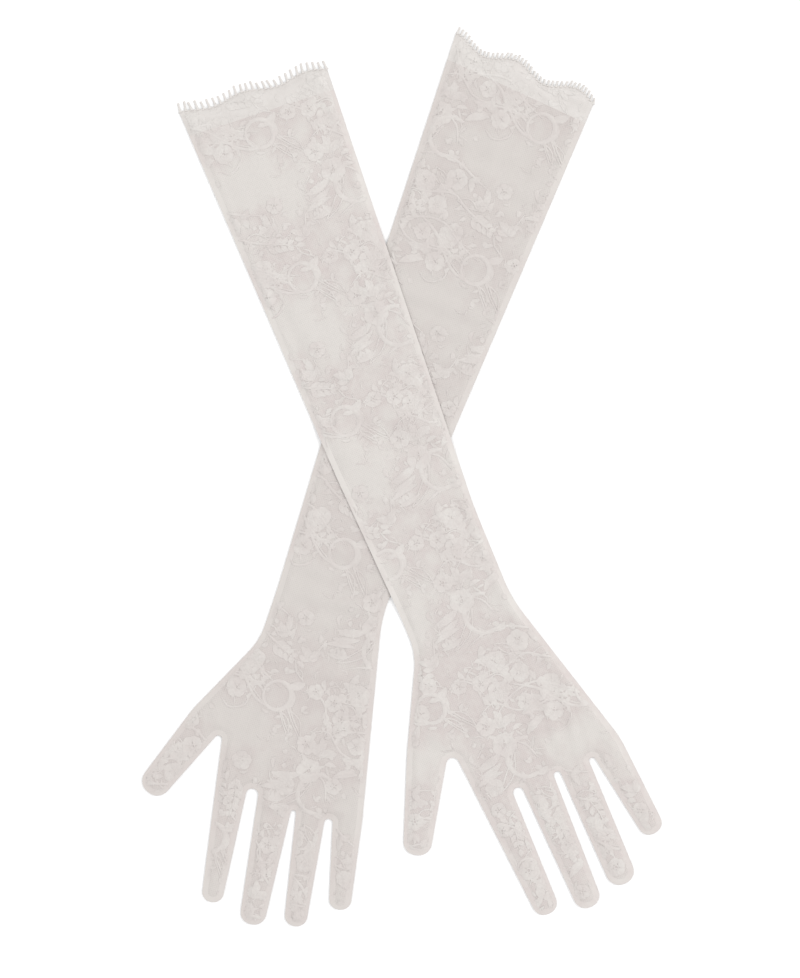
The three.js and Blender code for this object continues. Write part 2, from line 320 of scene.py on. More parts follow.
def hexagonal(low, high, step):
    """A grid of equilateral triangles over a box."""
    rows = np.arange(low[1], high[1], step * math.sqrt(3) / 2)
    columns = np.arange(low[0], high[0], step)
    x, y = np.meshgrid(columns, rows)
    x = x + (np.arange(len(rows)) % 2)[:, None] * step / 2
    return np.stack([x.ravel(), y.ravel()], axis=1)


def triangulate(outline, step, lines=()):
    """The outline's inside as triangles, whose edges follow the given lines."""
    grid = hexagonal(outline.min(0), outline.max(0), step)
    grid = grid[inside(grid, outline)]
    grid = grid[distance_to(grid, outline) > RIM_CLEARANCE * step]
    points = [outline]
    count = len(outline)
    edges = [(i, (i + 1) % count) for i in range(count)]
    for line in lines:
        grid = grid[distance_to(grid, line) > LINE_CLEARANCE * step]
        edges += [(count + i, count + i + 1) for i in range(len(line) - 1)]
        count += len(line)
        points.append(line)
    points = np.concatenate([*points, grid])
    made = delaunay_2d_cdt([Vector(p) for p in points], edges, [], 0, 1e-7)
    corners = np.array([tuple(v) for v in made[0]])
    triangles = np.array([f for f in made[2] if len(f) == 3])
    return corners, triangles[inside(corners[triangles].mean(1), outline)]


# ---- Height fields over the table ----

FIELD_STEP = 1 * MM
FIELD_LOW = np.array([-0.185, -0.30])
FIELD_SIZE = (372, 602)


class Field:
    """A value over the table, on a grid."""

    def __init__(self, values):
        self.values = values

    def at(self, points):
        place = (np.asarray(points) - FIELD_LOW) / FIELD_STEP
        cell = np.clip(np.floor(place).astype(int), 0, np.array(FIELD_SIZE) - 2)
        f = np.clip(place - cell, 0, 1)
        i, j = cell[..., 0], cell[..., 1]
        v = self.values
        low = v[i, j] * (1 - f[..., 0]) + v[i + 1, j] * f[..., 0]
        high = v[i, j + 1] * (1 - f[..., 0]) + v[i + 1, j + 1] * f[..., 0]
        return low * (1 - f[..., 1]) + high * f[..., 1]


def field_points():
    i, j = np.meshgrid(np.arange(FIELD_SIZE[0]), np.arange(FIELD_SIZE[1]), indexing="ij")
    return FIELD_LOW + np.stack([i, j], axis=-1) * FIELD_STEP


def blurred(values, sigma):
    """Gaussian blur of a grid; sigma is in metres."""
    fx = np.fft.fftfreq(values.shape[0])[:, None]
    fy = np.fft.rfftfreq(values.shape[1])[None, :]
    share = np.exp(-2 * (np.pi * sigma / FIELD_STEP) ** 2 * (fx**2 + fy**2))
    return np.fft.irfft2(np.fft.rfft2(values) * share, s=values.shape)


def scattered(points, values, sigma):
    """A grid from scattered values."""
    cell = np.round((points - FIELD_LOW) / FIELD_STEP).astype(int)
    total, weight = np.zeros(FIELD_SIZE), np.zeros(FIELD_SIZE)
    np.add.at(total, (cell[:, 0], cell[:, 1]), values)
    np.add.at(weight, (cell[:, 0], cell[:, 1]), 1)
    return blurred(total, sigma) / np.maximum(blurred(weight, sigma), 1e-9)


def noise_field(seed, size, stretch, angle):
    """Smooth noise with a standard deviation of 1 and features of about that size, in metres."""
    draw = np.random.default_rng(seed).standard_normal(FIELD_SIZE)
    fx = np.fft.fftfreq(FIELD_SIZE[0], FIELD_STEP)[:, None]
    fy = np.fft.rfftfreq(FIELD_SIZE[1], FIELD_STEP)[None, :]
    c, s = math.cos(angle), math.sin(angle)
    across, along = (fx * c + fy * s) * size * stretch[0], (fy * c - fx * s) * size * stretch[1]
    values = np.fft.irfft2(np.fft.rfft2(draw) * np.exp(-3 * (across**2 + along**2)), s=FIELD_SIZE)
    return values / values.std()


def smoothstep(x):
    t = np.clip(x, 0, 1)
    return t * t * (3 - 2 * t)


# ---- Cloth simulation: each glove as a closed bag of two layers with a little air in it ----

FRAMES = 24
START_PUFF = 0.5 * MM
COLLISION_GAP = 0.8 * MM
TABLE_SKIN, TABLE_FRICTION = 0.2 * MM, 8
CLOTH = {
    "quality": 6,
    "mass": 0.003,  # of a point
    "tension_stiffness": 12,
    "compression_stiffness": 6,
    "shear_stiffness": 4,
    "bending_stiffness": 0.02,
    "air_damping": 3,
    "shrink_min": -0.014,  # the cloth is this much larger than its pattern, which gives it soft folds
    "vertex_group_mass": "rim",
    "use_pressure": True,
    "uniform_pressure_force": 24,
}


def mesh_object(name, points, faces):
    mesh = bpy.data.meshes.new(name)
    mesh.from_pydata([tuple(p) for p in points], [], [tuple(int(i) for i in f) for f in faces])
    mesh.update()
    made = bpy.data.objects.new(name, mesh)
    bpy.context.scene.collection.objects.link(made)
    return made


def square(name, half):
    corners = [(x * half, y * half, 0) for x, y in ((-1, -1), (1, -1), (1, 1), (-1, 1))]
    return mesh_object(name, corners, [(0, 1, 2, 3)])


def bag_of(glove, base):
    """The closed bag: two layers that share the points of the outline, which is held."""
    points, triangles = triangulate(glove["coarse"], SIM_STEP)
    rim = distance_to(points, glove["coarse"]) < 1e-6
    height = base.at(points)
    count = len(points)
    lower = np.where(rim, np.arange(count), count + np.cumsum(~rim) - 1)
    puff = START_PUFF * ~rim
    upper_points = np.column_stack([points, height + puff])
    lower_points = np.column_stack([points, height - puff])[~rim]
    faces = np.concatenate([triangles, lower[triangles[:, ::-1]]])
    bag = mesh_object(f"{glove['name']}_bag", np.concatenate([upper_points, lower_points]), faces)
    held = bag.vertex_groups.new(name="rim")
    held.add([int(i) for i in np.flatnonzero(rim)], 1.0, "REPLACE")
    return bag, points


def table_for_cloth():
    table = square("table_for_cloth", 1)
    table.modifiers.new("collision", "COLLISION")
    table.collision.thickness_outer = TABLE_SKIN
    table.collision.cloth_friction = TABLE_FRICTION
    return table


def fill(glove, base):
    """Simulates the bag, and gives its flat points and where its upper layer comes to lie."""
    table = table_for_cloth()
    bag, points = bag_of(glove, base)
    cloth = bag.modifiers.new("cloth", "CLOTH")
    for key, value in CLOTH.items():
        setattr(cloth.settings, key, value)
    cloth.collision_settings.distance_min = COLLISION_GAP
    cloth.collision_settings.collision_quality = 3
    cloth.collision_settings.use_self_collision = False
    cloth.point_cache.frame_start = 1
    cloth.point_cache.frame_end = FRAMES
    for number in range(1, FRAMES + 1):
        bpy.context.scene.frame_set(number)
    settled = bag.evaluated_get(bpy.context.evaluated_depsgraph_get()).to_mesh()
    co = np.zeros(len(settled.vertices) * 3, np.float32)
    settled.vertices.foreach_get("co", co)
    for thing in (bag, table):
        mesh = thing.data
        bpy.data.objects.remove(thing)
        bpy.data.meshes.remove(mesh)
    bpy.context.scene.frame_set(1)
    return points, co.reshape(-1, 3)[: len(points)].astype(float)


# ---- Surfaces: where the two layers of each glove lie over the table ----

PUFF_LIMIT = 5.5 * MM
SIM_BLUR = 2.2 * MM
DRAPE_SLOPE = 0.16  # how steeply the upper glove comes down to the table
DRAPE_BLUR = 7 * MM
DRAPE_PASSES = 70
PUFF_FADE, QUICK_FADE, FOLD_FADE = 7 * MM, 26 * MM, 13 * MM  # how far in from the outline each grows
LOWER_SHARE = 0.12  # of the swelling goes downwards
SOFT_FOLDS = ((11, 0.24 * MM, 15 * MM, 3.4), (29, 0.12 * MM, 6.5 * MM, 2.4))  # seed, height, size, stretch
RIPPLE = 1.1  # how tightly a crease is flanked by hollows
SLOPE_REACH = 0.8 * MM  # a layer's slope is measured this far to each side
SHIFT_FADE = 6 * MM  # how far in from the outline a piece may move sideways

# Soft folds seen on the backs of the hands and the arms: x, y, length, width, height, lean. The places
# are in millimetres in the hand's frame, the lean in degrees.
CREASES = {
    "left": [
        (23, -100, 50, 4.5, 1.1, 8),
        (35, -104, 56, 5.0, 1.3, 12),
        (46, -92, 60, 4.0, 0.9, 16),
        (12, -108, 40, 4.0, 0.9, 4),
        (-3, -106, 36, 4.0, 0.8, -2),
        (-22, -92, 44, 5.0, 0.8, -6),
        (30, -40, 70, 5.0, 0.8, 10),
        (-14, 200, 80, 6.0, 0.7, -4),
        (12, 212, 60, 5.0, 0.7, -6),
        (33, 205, 90, 5.0, 0.8, -4),
        (-30, 70, 90, 5.0, 0.7, -3),
        (16, 20, 70, 5.0, 0.8, -3),
    ],
    "right": [
        (18, -30, 80, 6.0, 0.8, 12),
        (-20, -100, 50, 6.0, 0.7, -4),
        (30, -70, 70, 5.0, 0.8, 10),
        (5, -96, 40, 5.0, 0.6, 4),
        (-26, 60, 90, 5.0, 0.7, -3),
        (20, 300, 60, 7.0, 0.6, -6),
        (-12, 190, 70, 6.0, 0.7, -5),
    ],
}


def crease_field(glove, places):
    """The soft folds as heights over the table."""
    local = glove["planes"]["hand"].into(places) / MM
    total = np.zeros(FIELD_SIZE)
    for x, y, length, width, height, lean in CREASES[glove["name"]]:
        c, s = math.cos(math.radians(lean)), math.sin(math.radians(lean))
        across = (local[..., 0] - x) * c - (local[..., 1] - y) * s
        along = (local[..., 0] - x) * s + (local[..., 1] - y) * c
        shape = np.exp(-((across / width) ** 2) - (2 * along / length) ** 4)
        total += height * MM * shape * np.cos(across / width * RIPPLE)
    return total


def draped(heights, slope):
    """The lowest surface over the heights that is nowhere steeper than the slope."""
    result = heights.copy()
    for _ in range(DRAPE_PASSES):
        before = result
        for axis in (0, 1):
            for shift in (1, -1):
                moved = np.roll(before, shift, axis=axis) - slope * FIELD_STEP
                result = np.maximum(result, moved)
        if np.abs(result - before).max() < 1e-6:
            break
    return result


def puffed(glove, base):
    """How far the simulated upper layer stands over the base it started from."""
    points, settled = fill(glove, base)
    heights = scattered(points, settled[:, 2], SIM_BLUR)
    return np.clip(heights - base.values, 0, PUFF_LIMIT)


def surfaces_of(glove, under=None):
    """Fields for the heights of the lower and the upper layer, over the glove that lies under it."""
    places = field_points()
    flat_places = places.reshape(-1, 2)
    near = inside(flat_places, glove["outline"])
    edge = np.zeros(len(flat_places))
    edge[near] = distance_to(flat_places[near], glove["outline"])
    edge = edge.reshape(FIELD_SIZE)
    glove["edge"] = Field(edge)
    roll = np.sqrt(np.clip(1 - (1 - np.clip(edge / EDGE_ROLL, 0, 1)) ** 2, 0, 1))
    floor = np.full(FIELD_SIZE, TABLE_GAP)
    base = floor + EDGE_HALF
    if under is not None:
        top = np.where(under["edge"].values > 0, under["layers"]["top"].values, 0)
        base = np.maximum(base, blurred(draped(top, DRAPE_SLOPE), DRAPE_BLUR) + EDGE_HALF)
        floor = np.maximum(floor, np.where(under["edge"].values > 0, top + 2 * LAYER_GAP, 0))
    rise = puffed(glove, Field(base)) * smoothstep(edge / PUFF_FADE)
    lean = glove["planes"]["arm"].angle
    own_seed = len(glove["name"])
    soft = np.zeros(FIELD_SIZE)
    for seed, height, size, stretch in SOFT_FOLDS:
        soft += height * noise_field(seed + own_seed, size, (1, stretch), lean)
    free = smoothstep(edge / FOLD_FADE)
    low = base - roll * EDGE_HALF - LOWER_SHARE * rise
    high = base + roll * EDGE_HALF + rise + free * (soft + crease_field(glove, places))
    low = np.maximum(low, floor)
    high = np.maximum(high, low + 2 * LAYER_GAP * roll)
    glove["layers"] = {"bottom": Field(low), "top": Field(high)}


def lifted(glove, layer, points, offset=0.0):
    """Points of the pattern on a layer, moved off its outer face."""
    field = glove["layers"][layer]
    h = SLOPE_REACH
    z = field.at(points)
    dx = (field.at(points + (h, 0)) - field.at(points - (h, 0))) / (2 * h)
    dy = (field.at(points + (0, h)) - field.at(points - (0, h))) / (2 * h)
    out = 1 if layer == "top" else -1
    normal = np.stack([-dx, -dy, np.ones(len(z))], axis=1)
    normal /= np.linalg.norm(normal, axis=1)[:, None]
    offset = np.broadcast_to(offset, z.shape)
    edge = glove["edge"].at(points)
    shift = normal * (offset * out)[:, None]
    shift[:, :2] *= smoothstep(edge / SHIFT_FADE)[:, None]
    made = np.column_stack([points, z]) + shift
    made[:, 2] = np.maximum(made[:, 2], LOWEST)
    return made


# ---- Motifs: strokes of raised thread, drawn in millimetres and laid on the cloth ----

CORD_PROFILE = ((-1, 0), (-0.62, 0.8), (0, 1), (0.62, 0.8), (1, 0))
LEAF_PROFILE = (
    (-1, 0), (-0.86, 1), (-0.6, 0.5), (-0.12, 0.45), (0, 0.8),
    (0.12, 0.45), (0.6, 0.5), (0.86, 1), (1, 0),
)
RELIEF = 0.21  # height of a cord, in millimetres
SPACING = 1.3  # of the points along a stroke
LEAF_SWELL, CORD_SWELL = 1.18, 1.25  # the drawn widths are made this much wider
CORD_ENDS = 0.35  # a cord's width at its ends, as a share
RING_TALL, RING_RELIEF = 1.04, 1.15  # a ring against a circle, and against a cord
PETALS, FLOWER_EYE = 5, 0.2
LOOP_WIDTH, LOOP_BEND = 0.8, 0.1
SPRAY_HALF = 1.5
SMALL_RELIEF = 0.7 * RELIEF
SMALL_WORK = (  # x, y, spread and count of the small leaves
    (-50, -62, 9, 46), (-34, -76, 8, 26), (-62, -60, 7, 18), (26, -32, 8, 22), (38, -34, 6, 12),
    (20, -54, 6, 14), (-10, -56, 7, 18), (0, -68, 6, 12), (20, -88, 8, 18), (-26, 0, 8, 24),
    (-44, 8, 8, 20), (12, -14, 6, 10), (48, -54, 7, 12), (-18, -84, 7, 16), (-60, 14, 7, 12),
)


def smooth_line(points, closed=False):
    """A Catmull-Rom curve through the points."""
    p = np.array(points, float)
    if closed:
        p = np.concatenate([p[-1:], p, p[:2]])
    else:
        p = np.concatenate([2 * p[:1] - p[1:2], p, 2 * p[-1:] - p[-2:-1]])
    made = []
    for a, b, c, d in zip(p[:-3], p[1:-2], p[2:-1], p[3:]):
        count = max(2, math.ceil(np.linalg.norm(c - b) / SPACING))
        t = np.arange(count)[:, None] / count
        made.append(0.5 * (2 * b + (c - a) * t + (2 * a - 5 * b + 4 * c - d) * t**2
                           + (3 * b - a - 3 * c + d) * t**3))
    return np.concatenate([*made, p[-2:-1]])


def turned(points, degrees, at=(0, 0)):
    c, s = math.cos(math.radians(degrees)), math.sin(math.radians(degrees))
    return np.asarray(points, float) @ np.array([[c, s], [-s, c]]) + at


class Motifs:
    """Strokes collected in one unit of the lace, in millimetres."""

    def __init__(self):
        self.points, self.heights, self.along, self.faces = [], [], [], []
        self.count = 0

    def stroke(self, line, half, profile, height):
        line = np.asarray(line, float)
        half = np.broadcast_to(half, len(line))
        tangent = np.gradient(line, axis=0)
        tangent /= np.maximum(np.linalg.norm(tangent, axis=1), 1e-9)[:, None]
        normal = np.stack([-tangent[:, 1], tangent[:, 0]], axis=1)
        across = np.array([p[0] for p in profile])
        rise = np.array([p[1] for p in profile])
        taper = np.clip(half / (0.5 * max(half.max(), 1e-9)), 0, 1)
        grid = line[:, None] + normal[:, None] * (half[:, None] * across)[..., None]
        n, k = len(line), len(profile)
        length = np.concatenate([[0], np.cumsum(np.linalg.norm(np.diff(line, axis=0), axis=1))])
        first = self.count + np.arange(n - 1)[:, None] * k + np.arange(k - 1)
        faces = np.stack([first, first + k, first + k + 1, first + 1], axis=-1).reshape(-1, 4)
        self.points.append(grid.reshape(-1, 2))
        self.heights.append((height * taper[:, None] * rise).ravel())
        self.along.append(np.repeat(length, k))
        self.faces.append(faces[:, ::-1])
        self.count += n * k

    def cord(self, points, width, closed=False, height=RELIEF):
        line = smooth_line(points, closed=closed)
        share = np.linspace(0, 1, len(line))
        half = np.full(len(line), CORD_SWELL * width / 2)
        if not closed:
            half *= CORD_ENDS + (1 - CORD_ENDS) * np.minimum(1, 5 * np.minimum(share, 1 - share))
        self.stroke(line, half, CORD_PROFILE, height)

    def ring(self, x, y, radius, width, start=0, end=360, swell=0.25):
        count = max(12, int(abs(end - start) / 360 * 2 * math.pi * radius / SPACING))
        angle = np.radians(np.linspace(start, end, count + 1))
        line = np.stack([x + radius * np.cos(angle), y + radius * RING_TALL * np.sin(angle)], axis=1)
        half = CORD_SWELL * width / 2 * (1 + swell * np.cos(angle))
        self.stroke(line, half, CORD_PROFILE, RELIEF * RING_RELIEF)

    def leaf(self, base, tip, half, bend=0.12, blunt=1.0, height=RELIEF):
        base, tip = np.array(base, float), np.array(tip, float)
        d = tip - base
        side = np.array([-d[1], d[0]])
        t = np.linspace(0, 1, max(6, math.ceil(np.linalg.norm(d) / SPACING) + 1))
        line = base + d * t[:, None] + side * (bend * 4 * t * (1 - t))[:, None]
        width = LEAF_SWELL * half * np.sin(np.pi * np.clip(t, 0.02, 0.985) ** blunt) ** 0.7
        self.stroke(line, width, LEAF_PROFILE, height)

    def loop(self, base, tip, half):
        """An open leaf: only its outline."""
        base, tip = np.array(base, float), np.array(tip, float)
        d = tip - base
        side = np.array([-d[1], d[0]]) / np.linalg.norm(d)
        t = np.array([0.12, 0.35, 0.6, 0.85])
        middle = base + d * t[:, None] + np.outer(LOOP_BEND * 4 * t * (1 - t) * np.linalg.norm(d), side)
        spread = half * np.sin(np.pi * t)[:, None] * side
        self.cord([base, *(middle + spread), tip, *(middle - spread)[::-1]], LOOP_WIDTH, closed=True)

    def flower(self, x, y, radius, rotation=0.0):
        here = np.array([x, y])
        half = radius * 0.82 * math.sin(math.pi / PETALS)
        for i in range(PETALS):
            a = math.radians(rotation + 360 / PETALS * i)
            d = np.array([math.cos(a), math.sin(a)])
            self.leaf(here + d * radius * FLOWER_EYE, here + d * radius, half, 0.04, 1.35)
        self.ring(x, y, radius * FLOWER_EYE, 0.7, swell=0)

    def fan(self, x, y, first, last, count, length, half=1.7):
        for i in range(count):
            a = math.radians(first + (last - first) * i / max(1, count - 1))
            size = length * (0.82 + 0.18 * math.cos(2.3 * i))
            tip = (x + size * math.cos(a), y + size * math.sin(a))
            self.leaf((x, y), tip, half, 0.1 * (-1) ** i)

    def spray(self, base, degrees, length, pairs, leaf):
        """A feather: leaves in pairs along a stem."""
        stem = turned([(0, 0), (length * 0.5, length * 0.06), (length, 0)], degrees, base)
        self.cord(stem, 0.8)
        for i in range(pairs):
            at = turned([(length * (0.15 + 0.8 * i / pairs), length * 0.03)], degrees, base)[0]
            size = leaf * (1 - 0.12 * i)
            for side in (1, -1):
                tip = turned([(size * 0.8, side * size * 0.62)], degrees, at)[0]
                self.leaf(at, tip, SPRAY_HALF, 0.1 * side)
        self.leaf(stem[-1], turned([(leaf * 0.8, 0)], degrees, stem[-1])[0], SPRAY_HALF)

    def joined(self):
        return (np.concatenate(self.points), np.concatenate(self.heights),
                np.concatenate(self.along), np.concatenate(self.faces))


def small_leaves(m):
    """Small leaves, bars and open loops that fill the cells between the drawn motifs."""
    draw = np.random.default_rng(41)
    for x, y, spread, count in SMALL_WORK:
        for _ in range(count):
            base = np.array([x, y]) + draw.normal(0, spread, 2)
            length = draw.uniform(3.0, 7.5)
            tip = base + length * unit(draw.normal(0, 1, 2))
            if draw.random() < 0.62:
                m.leaf(base, tip, draw.uniform(0.7, 1.6), draw.uniform(-0.25, 0.25), 1.0, SMALL_RELIEF)
            else:
                m.cord([base, 0.5 * (base + tip) + draw.normal(0, 0.8, 2), tip], 0.7, height=SMALL_RELIEF)


def repeat_of_the_lace():
    """One repeat, drawn round its cord ring, with its tails, flowers, leaves and vines."""
    m = Motifs()
    # the ring, its tails and the open leaves between them
    m.ring(0, 0, 8.8, 2.0)
    m.leaf((8.4, 6.5), (8.6, -6.5), 1.7, 0.12)
    m.cord([(5, -7.5), (9, -13), (15, -20)], 0.9)
    m.cord([(10, -4), (15, -11), (22.5, -19)], 0.9)
    m.loop((4.5, -8.5), (14.5, -22), 1.9)
    m.loop((9, -6), (22.5, -21), 2.4)
    m.cord([(-8.5, 2), (-13, 4.5), (-18, 2), (-20, -4)], 1.1)
    # flowers, a leaf bundle and a stack of long leaves beside the tails
    m.flower(28, -23, 6.3, 12)
    m.fan(37, -27, 25, 118, 5, 12, 2.1)
    m.flower(35, -38, 8.0, 40)
    m.cord([(42, -38), (48, -43), (52, -53)], 1.1)
    m.leaf((31, -41), (13, -46.5), 2.3, 0.1)
    m.leaf((29, -47.5), (12, -52.5), 1.9, 0.08)
    m.leaf((28, -53.5), (9, -57.5), 1.8, -0.06)
    m.leaf((27, -59.5), (12, -62.5), 1.6, 0.08)
    m.loop((39, -43), (20, -66), 2.3)
    # the open arc
    m.ring(45, -50, 12, 2.0, 62, 292, -0.2)
    m.leaf((47, -62.5), (56, -60), 1.9, -0.1)
    m.cord([(14, 6.5), (22, 9.5), (30, 5), (35, -5)], 1.1)
    m.leaf((35, -5), (39, -14), 1.8, 0.15)
    # small flowers and leaves in the middle of the repeat
    m.flower(-8, -46, 5.4, 30)
    m.fan(-15, -58, 95, 225, 5, 9.5, 1.8)
    m.fan(3, -71, 50, 170, 5, 10.5, 1.8)
    m.spray((-24, -68), -18, 21, 4, 7.5)
    m.cord([(9.5, -54), (7, -62), (4.5, -69)], 1.0)
    m.flower(14, -88, 5.2, 5)
    m.flower(27, -91, 5.6, 50)
    m.leaf((6, -85), (-4, -90.5), 2.4)
    m.leaf((40, -83), (44, -93), 2.5)
    m.cord([(-5, -73), (-2, -80), (5, -85)], 0.9)
    m.cord([(31, -86), (37, -79), (44, -77), (51, -81)], 0.9)
    # beside the ring
    m.flower(-26, -4, 6.4, 20)
    m.fan(-22, 8, 115, 245, 4, 8.5, 1.8)
    m.cord([(-33, -13), (-26, -17), (-18, -13), (-16, -7)], 1.0)
    m.leaf((-34, 6), (-44, 1), 2.0, 0.14)
    # the dense band of flowers across the lace
    for x, y, radius, rotation in ((-39, -49, 7.2, 0), (-57, -56, 6.8, 30), (-45, -68, 6.2, 12),
                                   (-63, -74, 5.8, 50), (-29, -81, 6.2, 22), (-48, -87, 5.6, 36)):
        m.flower(x, y, radius, rotation)
    m.cord([(-70, -42), (-56, -37), (-42, -38), (-29, -44), (-17, -49)], 1.3)
    m.cord([(-70, -64), (-54, -62), (-38, -58), (-27, -64), (-14, -69), (-4, -66)], 1.2)
    m.cord([(-70, -90), (-56, -80), (-38, -77), (-22, -87), (-8, -93)], 1.2)
    m.loop((-54, -46), (-43, -58), 2.6)
    m.loop((-34, -61), (-20, -63), 2.6)
    m.loop((-66, -66), (-54, -70), 2.6)
    m.fan(-31, -46, -70, 30, 4, 8.5, 1.6)
    m.fan(-66, -50, -60, 60, 4, 8.0, 1.6)
    m.fan(-37, -90, -20, 90, 4, 8.0, 1.6)
    # the crossing vines above the plain oval
    m.cord([(-72, 9), (-60, 14), (-48, 5), (-36, 3), (-20, 4.5), (-9, 1)], 1.2)
    m.cord([(-46, 22), (-32, 14), (-23, 4), (-12, -6), (3, -10)], 1.5)
    m.loop((-32, 13), (-15, 1), 2.0)
    m.loop((-22, 3), (-4, -9), 2.3)
    m.spray((-58, 13), 38, 15, 3, 6.5)
    m.leaf((-33, -5), (-47, -12), 2.3, -0.1)
    m.fan(-30, 2, 180, 290, 4, 8.5, 1.8)
    small_leaves(m)
    return m.joined()


COLUMN = np.array([98.0, -25.0])  # from a repeat to the one beside it
LOWER_SHIFT = np.array([37.0, 41.0])  # the lower panel is cut from another place of the lace
MOTIF_EDGE = 2.0 * MM  # the motifs end this far from the outline
ROWS, COLUMNS = range(-2, 7), range(-2, 3)


def hand_motifs(name):
    """Motifs of the hands and fingers that stand apart from the repeat, in the hand's frame."""
    m = Motifs()
    if name == "left":
        m.flower(-27, -124, 6.0, 10)
        m.flower(-31, -138, 5.0, 40)
        m.ring(-30, -180, 6.8, 1.5, -100, 200)
        m.spray((-27, -150), -100, 16, 3, 6)
        m.flower(-5, -207, 5.0, 15)
        m.spray((0, -160), -95, 22, 4, 6)
        m.spray((22, -152), -80, 26, 4, 7)
        m.flower(21, -202, 6.0)
        m.flower(50, -176, 5.2, 20)
        m.flower(-82, -122, 5.6, 30)
        m.fan(-76, -110, 200, 330, 4, 8)
        m.flower(-50, -62, 6.4, 25)
        m.flower(-38, -48, 5.8, 5)
        m.fan(-58, -76, 60, 200, 5, 9)
    else:
        m.flower(-26, -112, 6.0, 15)
        m.spray((-27, -122), -85, 30, 5, 7)
        m.flower(4, -120, 6.6, 30)
        m.fan(6, -132, 200, 330, 5, 9)
        m.ring(5, -164, 6.0, 1.3, 120, 400)
        m.flower(34, -112, 5.4, 5)
        m.spray((30, -150), -80, 28, 4, 6.5)
        m.flower(56, -166, 5.0, 20)
        m.spray((-58, -92), 210, 18, 3, 6.5)
        m.flower(-66, -118, 6.2, 12)
        m.fan(-50, -66, 90, 230, 5, 9)
    return m.joined()


def laid_motifs(glove, layer):
    """All motifs of a layer in the table's plane: points, heights, lengths along, faces."""
    unit_points, heights, along, faces = REPEAT
    arm = glove["planes"]["arm"]
    ring_at = glove["ring_at"] + (0 if layer == "top" else LOWER_SHIFT)
    parts, count = [], 0
    for row in ROWS:
        for column in COLUMNS:
            origin = ring_at + row * glove["row"] + column * COLUMN
            points = arm.out((unit_points + origin) * MM)
            if not inside(points[::7], glove["outline"]).any():
                continue
            parts.append((points, heights, along, faces + count))
            count += len(points)
    points, heights, along, faces = hand_motifs(glove["name"])
    parts.append((glove["planes"]["hand"].out(points * MM), heights, along, faces + count))
    points, heights, along, faces = (np.concatenate(p) for p in zip(*parts))
    within = (glove["edge"].at(points) > MOTIF_EDGE) & inside(points, glove["outline"])
    return points, heights * MM, along * MM, faces[within[faces].all(1)]


REPEAT = repeat_of_the_lace()
MOTIF_LIFT = 0.06 * MM
HAND_FADE = 60 * MM
NEAR_BLUR, NEAR_GAIN, NEAR_SHARE = 6.0 * MM, 1.75, 0.95  # of a layer's own motifs on the net round them
THROUGH_BLUR, THROUGH_SHARE = 0.9 * MM, 0.45  # of the other layer's motifs, seen through the net


def coverage(motifs, sigma):
    """How much of the cloth the motifs cover, from 0 to 1, softened over a distance."""
    points, _, _, faces = motifs
    middle = points[faces].mean(1)
    a, b, c, d = (points[faces[:, k]] for k in range(4))
    area = 0.5 * np.abs(cross2((c - a).T, (d - b).T))
    cell = np.round((middle - FIELD_LOW) / FIELD_STEP).astype(int)
    total = np.zeros(FIELD_SIZE)
    np.add.at(total, (cell[:, 0], cell[:, 1]), area / FIELD_STEP**2)
    return np.clip(blurred(total, sigma), 0, 1)


def add_paleness(glove):
    """How pale the ground looks: pinker in the open cells between motifs, pale where plain or doubled."""
    own, other = glove["motifs"]["top"], glove["motifs"]["bottom"]
    glove["paleness"] = {}
    for layer, a, b in (("top", own, other), ("bottom", other, own)):
        near = np.clip(NEAR_GAIN * coverage(a, NEAR_BLUR), 0, 1)
        through = coverage(b, THROUGH_BLUR)
        hand = smoothstep(-glove["planes"]["hand"].into(field_points())[..., 1] / HAND_FADE)
        pale = 1.0 - NEAR_SHARE * near + THROUGH_SHARE * through - glove["hand_pink"] * hand
        glove["paleness"][layer] = Field(pale)


# ---- Sections ----

SECTIONS = ["forearm", "upperarm", "hand", *FINGERS]
PAST_TIP = 10  # a finger's section reaches this far past its tip
LINE_HALF = 75 * MM  # half of a cut line across the arm


def section_of(glove, points):
    """The number in SECTIONS of the section that each point belongs to."""
    folds = glove["folds"]
    result = np.zeros(len(points), int)
    result[folds["hand"].into(points)[:, 1] < 0] = SECTIONS.index("hand")
    result[folds["upperarm"].into(points)[:, 1] > 0] = SECTIONS.index("upperarm")
    for finger in FINGERS:
        local = folds[finger].into(points)
        half = (glove["root"][finger] / 2 + FOLD_GAP) * MM
        past = (local[:, 1] < 0) & (np.abs(local[:, 0]) < half)
        past &= local[:, 1] > -(glove["reach"][finger] + PAST_TIP) * MM
        result[past] = SECTIONS.index(finger)
    return result


def over_join(glove, points):
    """Which points belong to the border, over its straight join."""
    local = glove["planes"]["arm"].into(points)
    return local[:, 1] > join_height(glove, local[:, 0])


def straight(a, b):
    count = max(2, round(np.linalg.norm(b - a) / STEP) + 1)
    return a + (b - a) * np.linspace(0, 1, count)[:, None]


def cut_lines(glove):
    """The lines that the cloth's triangles follow: the folds, the border's join, the seam's inner edge."""
    folds, arm = glove["folds"], glove["planes"]["arm"]
    halves = {"hand": LINE_HALF, "upperarm": LINE_HALF}
    halves |= {finger: (glove["root"][finger] / 2 + FOLD_GAP) * MM for finger in FINGERS}
    lines = [straight(folds[n].out((-half, 0)), folds[n].out((half, 0))) for n, half in halves.items()]
    lines.append(straight(*(arm.out((x, join_height(glove, x))) for x in (-LINE_HALF, LINE_HALF))))
    lines.append(rounded(inset(glove["ring"], SEAM_WIDTH), STEP))
    return lines


# ---- Pieces ----


def body_for(glove, section):
    ending = "finger" if section in FINGERS[1:] else "section"
    return f"{glove['name']}_{section}_{ending}"


